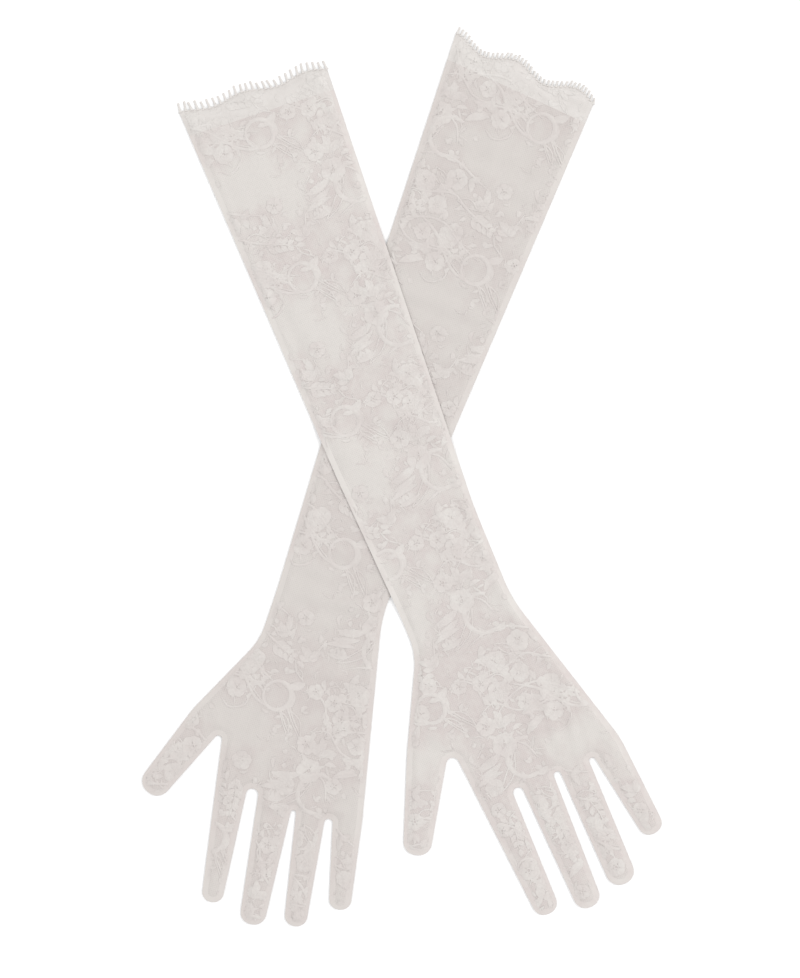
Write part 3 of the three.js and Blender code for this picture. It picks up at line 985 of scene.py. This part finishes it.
def carry(glove, piece, section):
    """Forearms ride on their section's body; every other piece keeps its place, with its placing baked
    into its points.
    """
    bpy.context.view_layer.update()
    if section == "forearm":
        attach(piece, body_for(glove, section))
        return
    fold = glove["folds"][section]
    reach = FINGER_BLEND if section in FINGERS else ARM_BLEND
    away = reach if section == "upperarm" else -reach
    start, end = (*fold.origin, 0.0), (*fold.out((0, away)), 0.0)
    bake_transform(piece)


def add_values(piece, flat, edge, along=None, paleness=None):
    """Pattern coordinates as UVs, and the distance from the outline and the like, for the materials."""
    mesh = piece.data
    corner = np.zeros(len(mesh.loops), np.int32)
    mesh.loops.foreach_get("vertex_index", corner)
    mesh.uv_layers.new(name="pattern").data.foreach_set("uv", flat[corner].astype(np.float32).ravel())
    along = None if along is None else along / MM
    for name, values in (("edge", edge / MM), ("along", along), ("paleness", paleness)):
        if values is not None:
            made = mesh.attributes.new(name, "FLOAT", "POINT")
            made.data.foreach_set("value", values.astype(np.float32))
    mesh.polygons.foreach_set("use_smooth", np.ones(len(mesh.polygons), bool))


def make_piece(glove, name, points, faces, flat, material, section, along=None, layer="top"):
    """A finished piece of a section, from the faces that belong to it."""
    used, index = np.unique(faces, return_inverse=True)
    piece = mesh_object(name, points[used], index.reshape(np.shape(faces)))
    pattern = glove["planes"]["hand"].into(flat[used])
    along = None if along is None else along[used]
    paleness = glove["paleness"][layer].at(flat[used])
    add_values(piece, pattern, glove["edge"].at(flat[used]), along, paleness)
    piece.data.materials.append(material)
    carry(glove, piece, section)
    return piece


def flat_size(glove, flat, triangles, section):
    """The width, length and area of a flat piece, along its section's own axes."""
    home = glove["planes"][section if section in FINGERS or section == "hand" else "arm"]
    local = home.into(flat[np.unique(triangles)])
    a, b, c = (flat[triangles[:, k]] for k in range(3))
    area = 0.5 * np.abs(cross2((b - a).T, (c - a).T)).sum()
    width, length = local.max(0) - local.min(0)
    return (float(width), float(length)), float(area)


PALM_END = -100 * MM  # down to here the hand's outer edges are side seams


def seam_side(glove, points):
    """0 on the thumb's side of a glove, 1 on the little finger's side, 2 between the fingers."""
    planes = glove["planes"]
    hand = planes["hand"].into(points)
    side = (planes["arm"].into(points)[:, 0] > 0).astype(int)
    below = hand[:, 1] < -WRIST_FOLD * MM
    thumb = planes["thumb"].into(points)[:, 0] < 0
    beside_palm = (hand[:, 1] > PALM_END) & (hand[:, 0] > 0)
    little = (planes["little"].into(points)[:, 0] > 0) | beside_palm
    side[below] = np.where(thumb, 0, np.where(little, 1, 2))[below]
    return side


def both_layers(triangles, shared):
    """The triangles of both layers, whose points are doubled but for the shared ones."""
    above = np.arange(len(shared))
    below = np.where(shared, above, above + len(shared))
    return np.concatenate([triangles, below[triangles[:, ::-1]]])


def cuff_points(glove, points):
    """Which points lie on the scalloped edge."""
    local = glove["planes"]["arm"].into(points)
    return np.abs(local[:, 1] - edge_height(glove, local[:, 0])) < 0.1 * MM


def make_cloth(glove, materials):
    """The panels, the sewn edges and the border."""
    name = glove["name"]
    flat, triangles = triangulate(glove["outline"], STEP, cut_lines(glove))
    middle = flat[triangles].mean(1)
    section = section_of(glove, middle)
    border = over_join(glove, middle) & (section == SECTIONS.index("upperarm"))
    seam = distance_to(middle, glove["outline"]) < SEAM_WIDTH
    side = seam_side(glove, middle)
    outer = {layer: lifted(glove, layer, flat) for layer in ("top", "bottom")}
    rim = distance_to(flat, glove["outline"]) < 1e-6
    both = both_layers(triangles, rim)
    twice = np.concatenate([flat, flat])
    pieces = {}
    inwards = smoothstep((SEAM_WIDTH - glove["edge"].at(flat)) / SEAM_FADE)
    band = {layer: lifted(glove, layer, flat, SEAM_LIFT * inwards) for layer in outer}
    for number, part in enumerate(SECTIONS):
        own = (section == number) & ~border
        for layer in ("top", "bottom"):
            chosen = triangles[own & ~seam]
            faces = chosen if layer == "top" else chosen[:, ::-1]
            label = glove[layer]
            piece = make_piece(glove, f"{name}_{part}_{label}_lace", outer[layer], faces, flat,
                               materials[label], part, layer=layer)
            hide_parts(f"{name}_{part}_{label}")
            pieces[part, layer] = piece, *flat_size(glove, flat, chosen, part)
        points = np.concatenate([band["top"], band["bottom"]])
        open_section = part not in FINGERS
        groups = enumerate(("thumb", "little", "web")) if open_section else [(None, "")]
        for code, word in groups:
            mask = own & seam & (True if code is None else side == code)
            if not mask.any():
                continue
            faces = both[np.concatenate([mask, mask])]
            label = f"{name}_{part}_{word}_seam" if word else f"{name}_{part}_seam"
            piece = make_piece(glove, f"{label}_sewn", points, faces, twice,
                               materials[f"{glove['top']}_seam"], part)
            piece.data.set_sharp_from_angle(angle=math.radians(RIM_ANGLE))
            if word != "web":
                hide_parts(label)
    points = np.concatenate([outer["top"], outer["bottom"]])
    chosen = triangles[border]
    faces = both_layers(chosen, rim & ~cuff_points(glove, flat))
    piece = make_piece(glove, f"{name}_border_lace", points, faces, twice, materials["border"],
                       "upperarm")
    piece.data.set_sharp_from_angle(angle=math.radians(RIM_ANGLE))
    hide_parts(f"{name}_border")
    pieces["border", "top"] = piece, *flat_size(glove, flat, chosen, "border")
    return pieces


def make_motifs(glove, materials):
    """The raised lace work on both layers, a piece for each section and layer."""
    made = {}
    for layer in ("top", "bottom"):
        flat, heights, along, faces = glove["motifs"][layer]
        middle = flat[faces].mean(1)
        section = section_of(glove, middle)
        border = over_join(glove, middle) & (section == SECTIONS.index("upperarm"))
        points = lifted(glove, layer, flat, heights + MOTIF_LIFT)
        outwards = faces if layer == "top" else faces[:, ::-1]
        for number, part in enumerate(SECTIONS):
            chosen = outwards[(section == number) & ~border]
            if len(chosen):
                label = f"{glove['name']}_{part}_{glove[layer]}_motifs"
                made[part, layer] = make_piece(glove, label, points, chosen, flat,
                                               materials[f"{glove[layer]}_motif"], part, along)
        label = f"{glove['name']}_border_{glove[layer]}_motifs"
        made["border", layer] = make_piece(glove, label, points, outwards[border], flat,
                                           materials["border_motif"], "upperarm", along)
    return made


LASH_INSET = 1.0  # from the sides of the cuff
LASH_JITTER, LASH_LEAN, LASH_SWAY, LASH_BEND = 0.05, 3, 0.12, 0.06
LASH_LENGTHS = 0.84, 1.06
LASH_SINK = 0.8 * MM  # a lash's foot starts this far inside the edge
LASH_APART = 0.06 * MM  # half the distance between the lashes of the two layers
LASH_HALF = 0.13 * MM  # half of a lash's thickness
LASH_DROOP, LASH_LEVEL, LASH_LAYER = 0.8, 0.2 * MM, 0.1 * MM  # how a lash comes down, and to where
LASH_CORNERS, NOTCH_POINTS = 6, 6
LASH_PLACES = np.array([0.35, 0.7, 0.93, 1.0])  # along the bar, with its swelling at each
LASH_SWELLS = np.array([-0.1, -0.05, 0.12, -0.15])


def make_lashes(glove, materials):
    """The fringe: a flat lash at each pitch of the scalloped edge, with a flared foot."""
    arm = glove["planes"]["arm"]
    draw = np.random.default_rng(5 + len(glove["name"]))
    pitch = glove["lash_pitch"] * MM
    low = -(CUFF_HALF_THUMB - LASH_INSET) * MM
    high = (CUFF_HALF_LITTLE - LASH_INSET) * MM
    count = int((high - low) / pitch)
    half_bar = glove["lash_width"] / 2 * MM
    notch = pitch / 2 - half_bar
    quarter = notch * (1 - np.cos(np.linspace(0, np.pi / 2, NOTCH_POINTS)))
    flare = notch - np.sqrt(np.maximum(notch**2 - (notch - quarter) ** 2, 0))
    around = np.linspace(0, 2 * np.pi, LASH_CORNERS, endpoint=False)
    points, faces, flats = [], [], []
    for i in range(count + 1):
        x = low + (high - low) * i / count + draw.uniform(-LASH_JITTER, LASH_JITTER) * pitch
        sway = LASH_SWAY * math.sin(2 * np.pi * x / MM / SCALLOP_LENGTH)
        lean = math.radians(draw.uniform(-LASH_LEAN, LASH_LEAN)) - sway
        length = glove["lash_length"] * MM * draw.uniform(*LASH_LENGTHS)
        bend = draw.uniform(-LASH_BEND, LASH_BEND) * length
        reach = np.concatenate([quarter, notch + (length - notch) * LASH_PLACES])
        share = reach / length
        half = half_bar + np.concatenate([flare, half_bar * LASH_SWELLS])
        for layer, side in (("top", 1), ("bottom", -1)):
            across = x + math.sin(lean) * length * share**1.5 + bend * share**2 + side * LASH_APART
            foot = edge_height(glove, x) - LASH_SINK
            along = foot + math.cos(lean) * length * share
            centre = arm.out(np.stack([across, along], axis=1))
            base = lifted(glove, layer, centre[:1])[0, 2]
            droop = base * (1 - LASH_DROOP * share**0.6) + side * LASH_LAYER + LASH_LEVEL
            rail = unit(arm.out((1, 0)) - arm.origin)
            first = sum(len(p) for p in points)
            ring_points = [
                np.column_stack([
                    centre + rail * (half * math.cos(a))[:, None],
                    droop + LASH_HALF * math.sin(a),
                ])
                for a in around
            ]
            grid = np.stack(ring_points, axis=1)
            n, k = grid.shape[:2]
            points.append(grid.reshape(-1, 3))
            flats.append(grid.reshape(-1, 3)[:, :2])
            row = first + np.arange(n - 1)[:, None] * k + np.arange(k)
            turn = first + np.arange(n - 1)[:, None] * k + (np.arange(k) + 1) % k
            faces += [tuple(f) for f in np.stack([row, turn, turn + k, row + k], axis=-1).reshape(-1, 4)]
            faces.append(tuple(first + np.arange(k)[::-1]))
            faces.append(tuple(first + (n - 1) * k + np.arange(k)))
    points, flats = np.concatenate(points), np.concatenate(flats)
    points[:, 2] = np.maximum(points[:, 2], LOWEST)
    piece = mesh_object(f"{glove['name']}_border_lashes", points, faces)
    piece.data.set_sharp_from_angle(angle=math.radians(RIM_ANGLE))
    add_values(piece, glove["planes"]["hand"].into(flats), np.full(len(flats), 5 * MM))
    piece.data.materials.append(materials["lash"])
    carry(glove, piece, "upperarm")
    return piece


# ---- Materials ----


class Nodes:
    """Short helpers for one material's node tree."""

    def __init__(self, name):
        self.material = bpy.data.materials.new(name)
        self.material.use_nodes = True
        self.tree = self.material.node_tree
        self.shader = self.tree.nodes["Principled BSDF"]
        self.output = self.tree.nodes["Material Output"]

    def new(self, kind, **values):
        node = self.tree.nodes.new(kind)
        for key, value in values.items():
            setattr(node, key, value)
        return node

    def join(self, value, socket):
        """Links a value to a socket, or sets the socket to a number or a colour."""
        if isinstance(value, (int, float)):
            socket.default_value = value
        elif isinstance(value, tuple):
            socket.default_value = (*value, 1)
        else:
            self.tree.links.new(value, socket)

    def math(self, operation, *values):
        node = self.new("ShaderNodeMath", operation=operation)
        for socket, value in zip(node.inputs, values):
            self.join(value, socket)
        return node.outputs[0]

    def pattern(self, scale=(1, 1, 1)):
        """Pattern coordinates in metres, times a scale."""
        place = self.new("ShaderNodeUVMap", uv_map="pattern")
        mapping = self.new("ShaderNodeMapping")
        mapping.inputs["Scale"].default_value = scale
        self.join(place.outputs[0], mapping.inputs["Vector"])
        return mapping.outputs[0]

    def noise(self, size, detail, stretch=(1, 1)):
        """Noise with features of about a size in metres."""
        place = self.pattern((1 / (size * stretch[0]), 1 / (size * stretch[1]), 1))
        node = self.new("ShaderNodeTexNoise")
        node.inputs["Scale"].default_value = 1.0
        node.inputs["Detail"].default_value = detail
        self.join(place, node.inputs["Vector"])
        return node.outputs["Fac"]

    def value(self, name):
        return self.new("ShaderNodeAttribute", attribute_name=name).outputs["Fac"]

    def ramp(self, factor, low, high, dark, light):
        node = self.new("ShaderNodeValToRGB")
        first, second = node.color_ramp.elements
        first.position, second.position = low, high
        first.color, second.color = (*dark, 1), (*light, 1)
        self.join(factor, node.inputs[0])
        return node.outputs[0]

    def mix(self, factor, a, b):
        node = self.new("ShaderNodeMix", data_type="RGBA")
        for value, place in ((factor, 0), (a, 6), (b, 7)):
            self.join(value, node.inputs[place])
        return node.outputs[2]

    def bump(self, height, distance, strength):
        node = self.new("ShaderNodeBump")
        node.inputs["Strength"].default_value = strength
        node.inputs["Distance"].default_value = distance
        self.join(height, node.inputs["Height"])
        self.join(node.outputs[0], self.shader.inputs["Normal"])

    def cloth(self, roughness, sheen):
        values = {"Roughness": roughness, "Sheen Weight": sheen, "Sheen Roughness": 0.6,
                  "Specular IOR Level": 0.2}
        for name, value in values.items():
            self.shader.inputs[name].default_value = value

    def see_through(self, opacity):
        """Lets what lies behind show where the net is open."""
        clear = self.new("ShaderNodeBsdfTransparent")
        mixed = self.new("ShaderNodeMixShader")
        self.join(opacity, mixed.inputs[0])
        self.join(clear.outputs[0], mixed.inputs[1])
        self.join(self.shader.outputs[0], mixed.inputs[2])
        self.join(mixed.outputs[0], self.output.inputs["Surface"])


NET_CELL = 1.15 * MM
THREAD = 0.42 * MM
STITCH = 6.5 * MM
CLOUDS, PATCHES, STREAKS = 9 * MM, 2.6 * MM, 3.0 * MM  # the net's uneven tones, by size
WEAR, DYE, BORDER_DYE = 2.4 * MM, 14 * MM, 7 * MM  # those of the threads and of the border
FUZZ, THREAD_FUZZ = 0.5 * MM, 0.6 * MM
PALER = 1.03  # the net's palest streaks, against its pale tone
HOLE_LOSS = 0.06  # how much more of what lies behind a hole shows
NO_MIX, FULL_MIX = (0, 0, 0), (1, 1, 1)


def scaled(tone, share):
    return tuple(share * c for c in tone)


def net_height(nodes):
    """The holes of a fine knitted net: 0 in a hole and 1 on a thread."""
    cells = nodes.new("ShaderNodeTexVoronoi", feature="DISTANCE_TO_EDGE")
    cells.inputs["Randomness"].default_value = 0.25
    cells.inputs["Scale"].default_value = 1 / NET_CELL
    nodes.join(nodes.pattern(), cells.inputs["Vector"])
    return nodes.math("SUBTRACT", 1.0, nodes.math("MULTIPLY", cells.outputs["Distance"], 2.6))


def ground_colour(nodes, open_tone, dense_tone):
    """The net's colour: pinker in the cells between motifs, paler where plain, and paler along the
    outline, partly for the doubled turned-in net and partly as a painted highlight on the rolled edge.
    """
    clouds = nodes.math("MULTIPLY_ADD", nodes.noise(CLOUDS, 4.0, (1, 1.5)), 1.7, -0.85)
    filled = nodes.math("ADD", nodes.value("paleness"), clouds)
    colour = nodes.ramp(filled, 0.0, 0.95, open_tone, dense_tone)
    patches = nodes.ramp(nodes.noise(PATCHES, 3.0, (1, 1.3)), 0.42, 0.72, NO_MIX, FULL_MIX)
    colour = nodes.mix(nodes.math("MULTIPLY", patches, 0.42), colour, dense_tone)
    streaks = nodes.math("MULTIPLY_ADD", nodes.noise(STREAKS, 2.0, (0.5, 5.0)), 0.5, -0.12)
    paler = scaled(dense_tone, PALER)
    colour = nodes.mix(streaks, colour, paler)
    # a paler band along the outline: partly the doubled turned-in net, partly a painted highlight on the
    # rolled edge
    edge = nodes.math("MULTIPLY", nodes.value("edge"), 0.1)
    turned_in_and_highlight = nodes.ramp(edge, 0.15, 0.85, FULL_MIX, NO_MIX)
    return nodes.mix(nodes.math("MULTIPLY", turned_in_and_highlight, 0.16), colour, paler)


def lace_material(name, open_tone, dense_tone, opacity):
    """The net ground, with fine holes."""
    nodes = Nodes(name)
    net = net_height(nodes)
    colour = ground_colour(nodes, open_tone, dense_tone)
    thread = nodes.math("MULTIPLY", net, 0.14)
    colour = nodes.mix(thread, colour, scaled(dense_tone, 1.10))
    nodes.join(colour, nodes.shader.inputs["Base Color"])
    nodes.cloth(0.85, 0.15)
    fine = nodes.math("MULTIPLY_ADD", nodes.noise(FUZZ, 1.0), 0.4, net)
    nodes.bump(fine, 0.10 * MM, 0.4)
    cover = nodes.math("MULTIPLY_ADD", net, 1 - opacity, opacity - HOLE_LOSS)
    nodes.see_through(nodes.math("MINIMUM", cover, 1.0))
    return nodes.material


def thread_material(name, light, dark):
    """Embroidered work: satin threads across the stroke, with painted shade in the grooves between them.
    """
    nodes = Nodes(name)
    stripes = nodes.math("SINE", nodes.math("MULTIPLY", nodes.value("along"), 2 * math.pi * MM / THREAD))
    fuzz = nodes.noise(THREAD_FUZZ, 2.0)
    height = nodes.math("MULTIPLY_ADD", fuzz, 0.8, stripes)
    colour = nodes.ramp(nodes.noise(DYE, 3.0), 0.35, 0.65, dark, light)
    worn = nodes.ramp(nodes.noise(WEAR, 3.0), 0.45, 0.7, NO_MIX, FULL_MIX)
    colour = nodes.mix(nodes.math("MULTIPLY", worn, 0.6), colour, dark)
    # painted shade in the grooves between the satin threads
    tone = nodes.math("MULTIPLY_ADD", stripes, 0.05, 0.05)
    nodes.join(nodes.mix(tone, colour, scaled(dark, 0.86)), nodes.shader.inputs["Base Color"])
    nodes.cloth(0.72, 0.25)
    nodes.bump(height, 0.06 * MM, 0.6)
    return nodes.material


def seam_material(name, open_tone, dense_tone):
    """The turned edge: two thicknesses of net with a row of overlock threads across them."""
    nodes = Nodes(name)
    slanted = nodes.new("ShaderNodeTexWave", wave_type="BANDS", bands_direction="DIAGONAL")
    slanted.inputs["Scale"].default_value = 1 / STITCH
    slanted.inputs["Distortion"].default_value = 1.5
    nodes.join(nodes.pattern(), slanted.inputs["Vector"])
    row = nodes.math("COMPARE", nodes.value("edge"), 2.0, 0.9)
    stitches = nodes.math("MULTIPLY", slanted.outputs["Fac"], row)
    colour = ground_colour(nodes, open_tone, dense_tone)
    nodes.join(colour, nodes.shader.inputs["Base Color"])
    nodes.cloth(0.8, 0.2)
    height = nodes.math("MULTIPLY_ADD", stitches, 0.7, net_height(nodes))
    nodes.bump(height, 0.07 * MM, 0.5)
    nodes.see_through(0.97)
    return nodes.material


def floor_material():
    nodes = Nodes("pale_floor")
    nodes.join((0.93, 0.93, 0.93), nodes.shader.inputs["Base Color"])
    nodes.shader.inputs["Roughness"].default_value = 0.9
    return nodes.material


BACK_TONES = (0.572, 0.514, 0.498), (0.636, 0.606, 0.578)
# The palm's tones are a little darker than the back's: painted shade for the weaker light over the right
# glove, whose palm lies on top.
PALM_TONES = (0.560, 0.508, 0.490), (0.596, 0.562, 0.536)
BORDER_TONES = (0.592, 0.560, 0.536), (0.640, 0.610, 0.586)


def all_materials():
    return {
        "back": lace_material("net_back", *BACK_TONES, 0.90),
        "palm": lace_material("net_palm", *PALM_TONES, 0.90),
        "back_motif": thread_material("back_thread", (0.644, 0.616, 0.589), (0.596, 0.552, 0.531)),
        # the palm's threads are darker than the back's: the same painted shade over the right glove
        "palm_motif": thread_material("palm_thread", (0.622, 0.590, 0.564), (0.580, 0.536, 0.515)),
        "border_motif": thread_material("border_thread", (0.660, 0.632, 0.607), (0.62, 0.59, 0.565)),
        "back_seam": seam_material("back_edge", *BACK_TONES),
        "palm_seam": seam_material("palm_edge", *PALM_TONES),
        "border": lace_border_material(),
        "lash": thread_material("lash_thread", (0.64, 0.61, 0.585), (0.62, 0.59, 0.565)),
    }


def lace_border_material():
    """The border's denser net."""
    nodes = Nodes("border_lace")
    net = net_height(nodes)
    colour = nodes.ramp(nodes.noise(BORDER_DYE, 3.0), 0.35, 0.65, *BORDER_TONES)
    thread = nodes.math("MULTIPLY", net, 0.3)
    nodes.join(nodes.mix(thread, colour, (0.70, 0.675, 0.65)), nodes.shader.inputs["Base Color"])
    nodes.cloth(0.8, 0.2)
    nodes.bump(net, 0.12 * MM, 0.6)
    nodes.see_through(0.95)
    return nodes.material


# ---- Light and floor ----


FLOOR_HALF = 3


def area_light(name, place, size, watts):
    """A square light that points at the gloves."""
    light = bpy.data.objects.new(name, bpy.data.lights.new(name, "AREA"))
    light.data.size = size
    light.data.energy = watts
    light.location = place
    light.rotation_euler = (-Vector(place)).to_track_quat("-Z", "Y").to_euler()
    bpy.context.scene.collection.objects.link(light)


def make_studio():
    floor = square("floor", FLOOR_HALF)
    floor.data.materials.append(floor_material())
    world = bpy.data.worlds.new("studio")
    world.use_nodes = True
    background = world.node_tree.nodes["Background"]
    background.inputs["Color"].default_value = (1, 1, 1, 1)
    background.inputs["Strength"].default_value = 1.0
    bpy.context.scene.world = world
    area_light("key", (3.0, 1.0, 3.0), 2.2, 58)
    area_light("fill", (-2.4, 1.0, 3.2), 2.6, 22)
    view = bpy.context.scene.view_settings
    view.view_transform = "Standard"
    view.look = "None"


# ---- The gloves ----


def prepare(glove):
    add_planes(glove)
    glove["ring"] = ring_of(glove)
    glove["outline"] = closed_outline(glove, glove["ring"], STEP)
    glove["coarse"] = closed_outline(glove, glove["ring"], SIM_STEP)


def declare_sheets(pieces):
    for (part, layer), (piece, flat, area) in pieces.items():
        if part == "border":  # one strip round both layers
            area = 2 * area
            flat = (2 * flat[0], flat[1])


make_studio()
materials = all_materials()
for glove in (LEFT, RIGHT):
    prepare(glove)
surfaces_of(RIGHT)
surfaces_of(LEFT, RIGHT)
for glove in (LEFT, RIGHT):
    glove["motifs"] = {layer: laid_motifs(glove, layer) for layer in ("top", "bottom")}
    add_paleness(glove)
for glove in (RIGHT, LEFT):
    pieces = make_cloth(glove, materials)
    motifs = make_motifs(glove, materials)
    lashes = make_lashes(glove, materials)
    declare_sheets(pieces)
